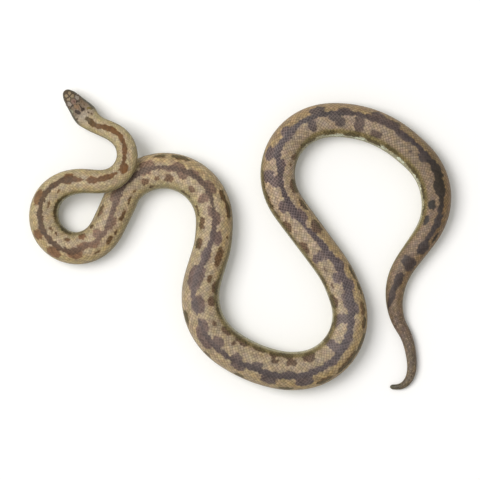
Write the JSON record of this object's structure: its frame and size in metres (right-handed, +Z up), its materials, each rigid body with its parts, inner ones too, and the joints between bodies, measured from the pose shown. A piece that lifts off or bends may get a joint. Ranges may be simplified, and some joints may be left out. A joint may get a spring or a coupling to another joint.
{
  "type": "spotted python",
  "caption": "Slender blotched python lying in loose open bends, its neck laid over the forebody and its head just clear of the floor.",
  "frame": {"origin": "middle of the footprint, on the floor", "axes": "+X across the bends, the long way of the footprint, +Y towards the head's side, +Z up from the floor"},
  "size_m": [0.3175, 0.2263, 0.0355],
  "materials": {
    "skin": "dry satin scales, buff with dark brown blotches",
    "head_skin": "smooth satin head plates, brown with dark spots",
    "eye": "wet gloss, dark bronze iris"
  },
  "bodies": {
    "root": {"eye_left": "eye", "eye_right": "eye", "forebody_1": "skin", "forebody_2": "skin", "forebody_3": "skin", "head": "head_skin", "hindbody_1": "skin", "hindbody_2": "skin", "hindbody_3": "skin", "hindbody_4": "skin", "lower_jaw": "head_skin", "midbody_1": "skin", "midbody_2": "skin", "midbody_3": "skin", "midbody_4": "skin", "neck_front": "skin", "neck_rear": "skin", "tail_base": "skin", "tail_tip": "skin"}
  },
  "joints": []
}
